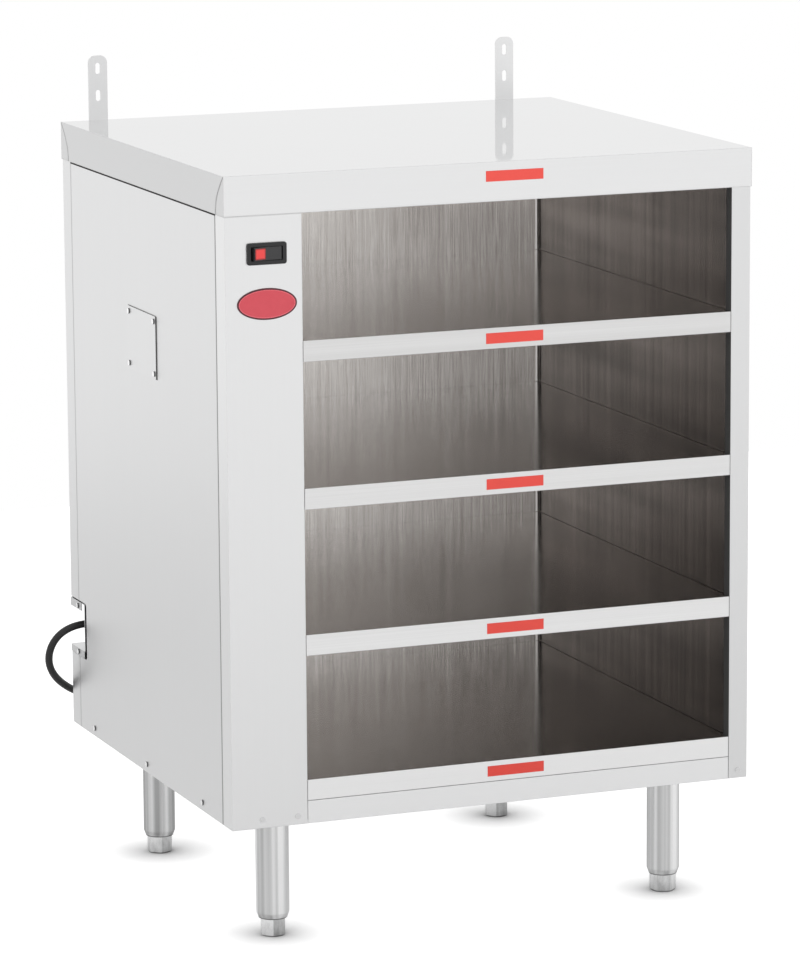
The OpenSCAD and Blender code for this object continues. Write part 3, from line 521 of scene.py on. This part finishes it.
def skirt_lap_shade(sheet):
    """Painted shade in the two curved joints where the corners of the skirts are lapped."""
    height = (sheet.where("Z") - lid_low[2]) / (lid_high[2] - lid_low[2])
    lap = LAP * (1 - height ** 2)
    front = 1 - abs(sheet.where("Y") - lid_low[1] - lap) / LAP_LINE
    rear = 1 - abs(lid_high[1] - sheet.where("Y") - lap) / LAP_LINE
    return front.clamped() + rear.clamped()


def lid_finish(name):
    sheet = new_finish(name)
    top = sheet.faces("Z").above(FACING)
    skirt = abs(sheet.faces("X")).above(FACING)
    fine = sheet.noise(FINE, ALONG)
    broad = sheet.noise(BROAD)
    # Painted shade: the top and the skirts are darker in colour than the fascia.
    tone = varied(FASCIA_TONE - TOP_DROP * top - SKIRT_DROP * skirt, (fine, 0.08), (broad, 0.08))
    colour = sheet.tint(tone, grey(0.60), grey(0.90))
    return sheet.surface(
        # Painted shade: dark lines at the lapped corners of the skirts.
        base_color=sheet.tint(LAP_DARK * skirt * skirt_lap_shade(sheet), colour, JOINT_SHADE),
        metallic=1.0,
        roughness=varied(FASCIA_ROUGH - TOP_POLISH * top, (broad, 0.03)),
        normal=sheet.bump(fine, LID_BUMP, LID_RELIEF, sheet.rounded(LID_EDGE)),
    )


lid_steel = lid_finish("lid_steel")
print("lid made")

# %% [markdown]
# Inside, the steel is warmer from heat, and the brush lines are plain to see. The grain of the liners
# is upright, and its bump spreads the reflections sideways. Soft level bands of reflection are painted
# into the colour of the two sides. The back is given a much brighter colour than the two sides and the
# ceilings, as painted light on the back and painted shade on the sides and ceilings.

# %% Liners
LINER_FINE, LINER_WIDE, LINER_BROAD, LINER_LEVEL, LINER_BRUSH = 700, 110, 7, 26, 2600
LINER_BUMP, WIDE_IN_BUMP = 0.6, 0.15
MIDDLE_TONE = 0.5


def liner_steel(name, light, dark, rough, relief, bands=0.0):
    sheet = new_finish(name)
    fine = sheet.noise(LINER_FINE, UPRIGHT, detail=3)
    wide = sheet.noise(LINER_WIDE, UPRIGHT)
    broad = sheet.noise(LINER_BROAD)
    level = sheet.noise(LINER_LEVEL, LEVEL, detail=1)
    brush = sheet.noise(LINER_BRUSH, UPRIGHT, detail=1)
    # The level noise paints soft bands of reflection into the tone, as far as `bands` reaches.
    tone = varied(MIDDLE_TONE, (fine, 1.1), (wide, 1.1), (broad, 0.7), (level, bands))
    return sheet.surface(
        base_color=sheet.tint(tone, dark, light),
        metallic=1.0,
        roughness=varied(rough, (wide, 0.10), (broad, 0.08)),
        normal=sheet.bump(brush + WIDE_IN_BUMP * wide, LINER_BUMP, relief),
    )


# Painted light and shade: the back liner is much brighter than the side liners, and the ceilings are
# between.
back_liner_steel = liner_steel(
    "back_liner_steel", (0.98, 0.95, 0.92), (0.68, 0.64, 0.61), 0.20, 0.00032)
side_liner_steel = liner_steel(
    "side_liner_steel", (0.28, 0.253, 0.238), (0.10, 0.089, 0.082), 0.18, 0.00006, bands=1.4)
ceiling_steel = liner_steel("ceiling_steel", (0.50, 0.46, 0.43), (0.32, 0.29, 0.27), 0.26, 0.00005)
print("liners made")

# %% [markdown]
# A shelf is one folded tray: the top is smooth, with grain from left to right, and mirrors the back
# wall. The bent front lip is given a much brighter colour than the top, a painted highlight for the
# light of the room that it catches. The lips get darker the higher they stand, so the lips of the upper
# shelves are darker than the lowest one.

# %% Shelves
SHELF_FINE, SHELF_WIDE, SHELF_BROAD = 900, 90, 6
LIP_TONE, LIP_FALL, SHELF_TONE = 1.23, 1.0, 0.62
LIP_ROUGH, SHELF_POLISH = 0.30, 0.17
SHELF_BUMP, SHELF_EDGE = 0.3, 0.0010


def shelf_finish(name):
    sheet = new_finish(name)
    top = sheet.faces("Z").above(FACING)
    fine = sheet.noise(SHELF_FINE, ALONG)
    wide = sheet.noise(SHELF_WIDE, ALONG)
    broad = sheet.noise(SHELF_BROAD)
    # Painted highlight on the lip, getting darker with height.
    lip = (1 - top) * (LIP_TONE - LIP_FALL * sheet.where("Z"))
    tone = varied(lip + SHELF_TONE * top, (fine, 0.30), (wide, 0.30))
    return sheet.surface(
        base_color=sheet.tint(tone, (0.55, 0.545, 0.54), (0.88, 0.88, 0.88)),
        metallic=1.0,
        roughness=varied(LIP_ROUGH - SHELF_POLISH * top, (broad, 0.06)),
        normal=sheet.bump(fine, SHELF_BUMP, HAIRLINE, sheet.rounded(SHELF_EDGE)),
    )


shelf_steel = shelf_finish("shelf_steel")
print("shelves made")

# %% [markdown]
# A leg is a drawn tube. Its colour has lengthwise bands of painted highlight and shade, laid out at
# random by a noise, and a dark line of painted shade where the tube ends above the foot. The foot below
# it is a turned hexagon, and each flat gets its own tone of painted highlight or shade from the way it
# faces: a wave that reads the direction of the face gives every flat one value. A dark line of painted
# shade runs round the bottom of the foot, on the floor.

# %% Legs and feet
LEG_BANDS, LEG_FINE, LEG_BUMP, LEG_RELIEF = 105, 900, 0.3, 0.00006
LEG_RIM, LEG_RIM_DARK = 0.0012, 0.8
FOOT_STAIN, FOOT_FINE, FOOT_RELIEF, FOOT_EDGE = 150, 1200, 0.00003, 0.0008
FOOT_RIM, FOOT_RIM_DARK = (-0.001, 0.0014), 0.7
FLAT_TONE, FLAT_SWING, FLAT_WAVES, FLAT_SHIFT = 0.56, 0.42, 4, 1.7
leg_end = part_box("leg_fl")[0][2]


def leg_finish(name):
    sheet = new_finish(name)
    # The bands paint highlight and shade along the tube.
    bands = sheet.noise(LEG_BANDS, UPRIGHT, detail=1, roughness=0.4)
    fine = sheet.noise(LEG_FINE, UPRIGHT)
    # Painted shade in a thin line where the tube ends above the foot.
    rim = sheet.line("Z", leg_end, leg_end + LEG_RIM)
    colour = sheet.tint(varied(MIDDLE_TONE, (bands, 2.6), (fine, 0.3)), grey(0.40), grey(0.95))
    return sheet.surface(
        base_color=sheet.tint(LEG_RIM_DARK * rim, colour, JOINT_SHADE),
        metallic=1.0,
        roughness=varied(0.24, (bands, 0.10)),
        normal=sheet.bump(fine + bands, LEG_BUMP, LEG_RELIEF),
    )


def foot_finish(name):
    sheet = new_finish(name)
    # Painted highlight and shade: each flat's tone comes from the way that it faces.
    flat = (FLAT_WAVES * sheet.faces("X") - FLAT_SHIFT).wave()
    stain = sheet.noise(FOOT_STAIN, (1, 1, 0.35))
    fine = sheet.noise(FOOT_FINE, ALONG)
    # Painted shade in a thin line at the bottom of the foot, on the floor.
    rim = sheet.line("Z", *FOOT_RIM)
    tone = varied(FLAT_TONE + FLAT_SWING * flat, (stain, 1.1), (fine, 0.3))
    colour = sheet.tint(tone, grey(0.42), grey(0.92))
    return sheet.surface(
        base_color=sheet.tint(FOOT_RIM_DARK * rim, colour, JOINT_SHADE),
        metallic=1.0,
        roughness=varied(0.16, (fine, 0.06)),
        normal=sheet.bump(fine, GRAIN_BUMP, FOOT_RELIEF, sheet.rounded(FOOT_EDGE)),
    )


leg_steel = leg_finish("leg_steel")
foot_steel = foot_finish("foot_steel")
print("legs and feet made")

# %% [markdown]
# The small parts: moulded black plastic has a fine texture and slightly paler corners; the jacket of
# the cord is smoother; the rest are plain workshop materials. One recipe does for all of them, with
# other colours, another grain and another gloss.

# %% Small finishes
MOULD_PATCH, MOULD_BUMP, MOULD_EDGE = 60, 0.3, 0.0006
PATCH_SHARE, SPECK_SHARE = 0.6, 0.4


def moulded(name, dark, light, rough, texture=1400, relief=0.00003, coat=0.0):
    """Moulded plastic or rubber with a fine spark-eroded texture."""
    sheet = new_finish(name)
    speck = sheet.noise(texture)
    broad = sheet.noise(MOULD_PATCH)
    tone = (PATCH_SHARE * broad + SPECK_SHARE * speck).clamped()
    return sheet.surface(
        base_color=sheet.tint(tone, dark, light),
        roughness=varied(rough, (broad, 0.12)),
        normal=sheet.bump(speck, MOULD_BUMP, relief, sheet.rounded(MOULD_EDGE)),
        coat_weight=coat,
    )


black_plastic = moulded("black_plastic", (0.006, 0.006, 0.007), (0.013, 0.013, 0.014), 0.40)
rocker_plastic = moulded("rocker_plastic", (0.020, 0.020, 0.021), (0.034, 0.034, 0.036), 0.30)
cord_jacket = moulded("cord_jacket", (0.004, 0.004, 0.004), (0.010, 0.010, 0.010), 0.46, 700)
pale_plastic = moulded("pale_plastic", (0.78, 0.77, 0.72), (0.88, 0.87, 0.83), 0.5)
red_film = moulded("red_film", (0.74, 0.054, 0.038), (0.82, 0.070, 0.050), 0.42, 300, 0.00001)
wool = moulded("wool", (0.62, 0.55, 0.33), (0.84, 0.78, 0.55), 0.95, 220, 0.0015)
brass = satin_steel("brass", (0.82, 0.66, 0.34), (0.70, 0.53, 0.25), ALONG, 0.28)
foil = satin_steel("foil", (0.82, 0.82, 0.84), (0.70, 0.70, 0.72), ALONG, 0.22, relief=0.0001)
print("small finishes made")

# %% [markdown]
# The window of the rocker is clear red plastic over a small lamp. Its glow is painted into the colour,
# not a light: bright in the middle and darker towards its edges.

# %% Red window
GLOW_ACROSS, GLOW_UPRIGHT = 3.5, 3.0
WINDOW_SPECK, WINDOW_RELIEF, WINDOW_COAT = 500, 0.00001, 0.2


def window_finish(name):
    low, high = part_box("rocker_lens")
    sheet = new_finish(name)

    def inward(axis, i):
        """One in the middle of the window, and zero at its two edges along the axis."""
        return 1 - abs(sheet.where(axis) - (low[i] + high[i]) / 2) / ((high[i] - low[i]) / 2)

    # Painted glow, falling off towards the edges.
    glow = (inward("X", 0) * GLOW_ACROSS).clamped() * (inward("Z", 2) * GLOW_UPRIGHT).clamped()
    speck = sheet.noise(WINDOW_SPECK)
    return sheet.surface(
        base_color=sheet.tint(glow, (0.13, 0.006, 0.006), (0.78, 0.040, 0.038)),
        roughness=varied(0.16, (speck, 0.06)),
        normal=sheet.bump(speck, GRAIN_BUMP, WINDOW_RELIEF, sheet.rounded(MOULD_EDGE)),
        coat_weight=WINDOW_COAT,
    )


red_window = window_finish("red_window")
print("red window made")

# %% [markdown]
# The name plate is a domed oval badge with no lettering: a dark rolled rim, a narrow paler ring of
# painted highlight just inside it, and a field of glossy red enamel. Rings of an ellipse, one for each
# change of its profile, make the dome.
# A row of the profile is the share of the half height, the share of the depth, and which of the three
# finishes the band of faces up to that ring takes. The badge stands for the plain oval solid.

# %% Name plate
badge_low, badge_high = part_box("name_plate")
BADGE_PROFILE = [
    (1.000, 0.00, 0), (1.000, 0.70, 0), (0.985, 0.95, 0), (0.895, 1.00, 0), (0.880, 0.88, 1),
    (0.845, 0.84, 1), (0.830, 0.86, 2), (0.700, 0.90, 2), (0.400, 0.96, 2), (0.0, 0.98, 2),
]
BADGE_SIDES = 72


def oval_badge():
    middle = (Vector(badge_low) + Vector(badge_high)) / 2
    half_w, half_h = (badge_high[0] - badge_low[0]) / 2, (badge_high[2] - badge_low[2]) / 2
    deep = badge_high[1] - badge_low[1]
    shape = bmesh.new()
    rings = []
    for share, rise, _ in BADGE_PROFILE[:-1]:
        rim = half_h * (1 - share)
        ring = []
        for k in range(BADGE_SIDES):
            angle = 2 * math.pi * k / BADGE_SIDES
            x = (half_w - rim) * math.cos(angle)
            z = (half_h - rim) * math.sin(angle)
            ring.append(shape.verts.new((middle.x + x, badge_high[1] - deep * rise, middle.z + z)))
        rings.append(ring)
    for i, (first, second) in enumerate(zip(rings, rings[1:])):
        for k in range(BADGE_SIDES):
            n = (k + 1) % BADGE_SIDES
            face = shape.faces.new((first[k], first[n], second[n], second[k]))
            face.material_index = BADGE_PROFILE[i + 1][2]
            face.smooth = i > 0
    _, rise, field = BADGE_PROFILE[-1]
    top = shape.verts.new((middle.x, badge_high[1] - deep * rise, middle.z))
    for k in range(BADGE_SIDES):
        face = shape.faces.new((rings[-1][k], rings[-1][(k + 1) % BADGE_SIDES], top))
        face.material_index = field
        face.smooth = True
    shape.faces.new(rings[0][::-1])
    bmesh.ops.recalc_face_normals(shape, faces=shape.faces)
    return shape


badge = add_piece("name_badge", oval_badge())
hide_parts("name_plate")
badge_finishes = (
    moulded("badge_rim", (0.060, 0.004, 0.010), (0.090, 0.008, 0.016), 0.45, 400, 0.00001),
    # Painted highlight: a paler ring just inside the rim.
    moulded("badge_ring", (0.70, 0.110, 0.140), (0.78, 0.140, 0.170), 0.25, 400, 0.00001),
    moulded("badge_field", (0.55, 0.037, 0.058), (0.63, 0.053, 0.077), 0.14, 240, 0.000004, coat=0.4),
)
for material in badge_finishes:
    badge.data.materials.append(material)
print("badge", [round(v, 4) for v in Vector(badge_high) - Vector(badge_low)])

# %% [markdown]
# The liner sheets are folded into each other at the two rear corners of every compartment, and the
# small bend catches the light as a bright upright line. A solid with a sharp corner has no such line,
# so a slim cove of sheet is set into each corner, from a shelf up to the underside of what is above it.

# %% Folds in the rear corners
FOLD_R, FOLD_CLEAR = 0.0045, 0.0005
FOLD_STEPS = 8
back_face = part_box("back_liner")[0][1]
wall_faces = {"left": (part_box("left_liner")[1][0], 1), "right": (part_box("right_liner")[0][0], -1)}
ceilings = [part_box("ceiling_liner")[0][2]] + [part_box("cover_%d" % n)[0][2] for n in (1, 2, 3)]
compartments = [(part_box("shelf_%d" % n)[1][2], top) for n, top in zip((1, 2, 3, 4), ceilings)]


def corner_folds(wall, side):
    """Four coves in one rear corner. The side is 1 where the room is to the right of the wall."""
    shape = bmesh.new()
    centre = Vector((wall + side * FOLD_R, back_face - FOLD_R, 0))
    outline = [Vector((wall, back_face, 0))]
    for k in range(FOLD_STEPS + 1):
        angle = math.pi / 2 * k / FOLD_STEPS
        outline.append(centre + FOLD_R * Vector((-side * math.cos(angle), math.sin(angle), 0)))
    for low, high in compartments:
        rows = []
        for height in (low + FOLD_CLEAR, high - FOLD_CLEAR):
            rows.append([shape.verts.new((p.x, p.y, height)) for p in outline])
        for k in range(len(outline)):
            n = (k + 1) % len(outline)
            face = shape.faces.new((rows[0][k], rows[0][n], rows[1][n], rows[1][k]))
            face.smooth = 0 < k < len(outline) - 1
        shape.faces.new(rows[0][::-1])
        shape.faces.new(rows[1])
    bmesh.ops.recalc_face_normals(shape, faces=shape.faces)
    for edge in shape.edges:
        edge.smooth = all(face.smooth for face in edge.link_faces)
    return shape


fold_steel = satin_steel("fold_steel", (0.86, 0.84, 0.82), (0.74, 0.72, 0.70), UPRIGHT, 0.30)
for name, (wall, side) in wall_faces.items():
    fold = add_piece("corner_fold_" + name, corner_folds(wall, side))
    fold.data.materials.append(fold_steel)
print("folds in compartments of", [round(high - low, 4) for low, high in compartments])

# %% [markdown]
# Every solid of the frame keeps its shape and takes one of the finishes. A table names the nodes that
# have a finish of their own, and the beginnings of the names that come in fours.

# %% Finish of each node
FINISHES = {
    "lid_cover": lid_steel, "control_panel": panel_steel, "left_side_panel": side_steel,
    "right_side_panel": post_steel, "back_panel": back_steel, "base_rail": rail_steel,
    "access_plate": cover_steel, "cord_recess": recess_steel, "left_liner": side_liner_steel,
    "right_liner": side_liner_steel, "back_liner": back_liner_steel, "ceiling_liner": ceiling_steel,
    "strap_left": strap_steel, "strap_right": strap_steel, "base_pan": plain_steel,
    "leg_plates": plain_steel, "leg_bolts": plain_steel, "panel_screws": screw_steel,
    "insulation": wool, "switch_housing": black_plastic, "rocker": rocker_plastic,
    "rocker_lens": red_window, "switch_terminals": brass, "cord_bushing": black_plastic,
    "coil_tie": black_plastic, "plug_body": black_plastic, "plug_blades": brass,
    "wire_loom": cord_jacket, "supply_lead": cord_jacket, "cord_free": cord_jacket,
    "cord_coil": cord_jacket, "thermostat": pale_plastic, "terminal_block": pale_plastic,
    "strips": red_film,
}
BEGINNINGS = {"shelf_": shelf_steel, "heater_": foil, "cover_": ceiling_steel, "leg_": leg_steel,
              "foot_": foot_steel}


def finish_of(name):
    if name in FINISHES:
        return FINISHES[name]
    for start, material in BEGINNINGS.items():
        if name.startswith(start):
            return material
    return plain_steel


for name, solid in nodes.items():
    solid.data.materials.clear()
    solid.data.materials.append(finish_of(name))
cord.data.materials.append(cord_jacket)
print("finished", len(nodes), "nodes")

# %% [markdown]
# The studio. The world is white to the camera, to reflections and through glass, and gives a softer
# light to everything else, most of it from near the horizon, as from the walls of a bright room. A
# sheet of pale paper is the floor. It glows to the same rays, so that it is white as well, and keeps
# the shadow of the object: the glow falls off where something stands close above the paper.

# %% Floor and world
HALF_FLOOR = 2.4
PAPER = 0.80
WHITE = (1, 1, 1, 1)
SHADOW_REACH, SHADOW_POWER, SHADOW_SAMPLES = 0.072, 4.2, 12
CAMERA_GLOW, MIRROR_GLOW = 0.80, 0.30
SKY_BASE, SKY_RIM, SKY_FALL = 0.35, 1.5, 3
floor_mesh = bpy.data.meshes.new("studio_floor")
corners = [(HALF_FLOOR * x, HALF_FLOOR * y, 0) for x, y in ((-1, -1), (1, -1), (1, 1), (-1, 1))]
floor_mesh.from_pydata(corners, [], [(0, 1, 2, 3)])
floor = bpy.data.objects.new("studio_floor", floor_mesh)
scene.collection.objects.link(floor)


def ray(sheet, kind):
    """One for a ray of that kind, and zero for the rest."""
    return sheet.node("ShaderNodeLightPath", out=kind)


paper = new_finish("studio_floor")
mirrored = (ray(paper, "Is Glossy Ray") + ray(paper, "Is Transmission Ray")).clamped()
near = paper.node("ShaderNodeAmbientOcclusion", {"samples": SHADOW_SAMPLES},
                  {"Distance": SHADOW_REACH}, out="AO")
shine = (CAMERA_GLOW * ray(paper, "Is Camera Ray") + MIRROR_GLOW * mirrored) * near ** SHADOW_POWER
matt = paper.node("ShaderNodeBsdfDiffuse", {}, {"Color": (PAPER, PAPER, PAPER, 1)})
glow = paper.node("ShaderNodeEmission", {}, {"Color": WHITE, "Strength": shine})
floor.data.materials.append(paper.finish(paper.node("ShaderNodeAddShader", {}, {0: matt, 1: glow})))

scene.world = bpy.data.worlds.new("studio_world")
sky = NodeSheet(scene.world, "ShaderNodeOutputWorld")
seen = ray(sky, "Is Camera Ray") + ray(sky, "Is Glossy Ray") + ray(sky, "Is Transmission Ray")
seen = seen.clamped()
aloft = sky.part(sky.node("ShaderNodeTexCoord", out="Generated"), "Z").clamped()
soft = SKY_BASE + SKY_RIM * (1 - aloft) ** SKY_FALL
light = seen + (1 - seen) * soft
sky.finish(sky.node("ShaderNodeBackground", {}, {"Color": WHITE, "Strength": light}))
print("studio ready")

# %% [markdown]
# Three large soft lamps, as on a product table: the key from the left, a weaker fill from the right and
# a weak one from above. They light the matt surfaces and the floor, but don't show in the steel, which
# mirrors the white room alone, so that no pale sheet burns out from any side. A row of the table is the
# lamp's place, its size in metres and its power in watts.

# %% Lamps
LAMPS = {
    "key": ((-2.0, -3.0, 2.4), 2.4, 24),
    "fill": ((2.6, -2.6, 1.8), 2.4, 14),
    "over": ((0.0, 0.6, 3.4), 2.6, 8),
}
LAMP_AIM = Vector((0, 0, 0.45))
for name, (place, size, power) in LAMPS.items():
    lamp = bpy.data.lights.new(name, "AREA")
    lamp.energy = power
    lamp.size = size
    holder = bpy.data.objects.new(name, lamp)
    holder.location = place
    holder.visible_glossy = False
    aim = LAMP_AIM - Vector(place)
    holder.rotation_euler = aim.to_track_quat("-Z", "Y").to_euler()
    scene.collection.objects.link(holder)
print("lamps", len(LAMPS))
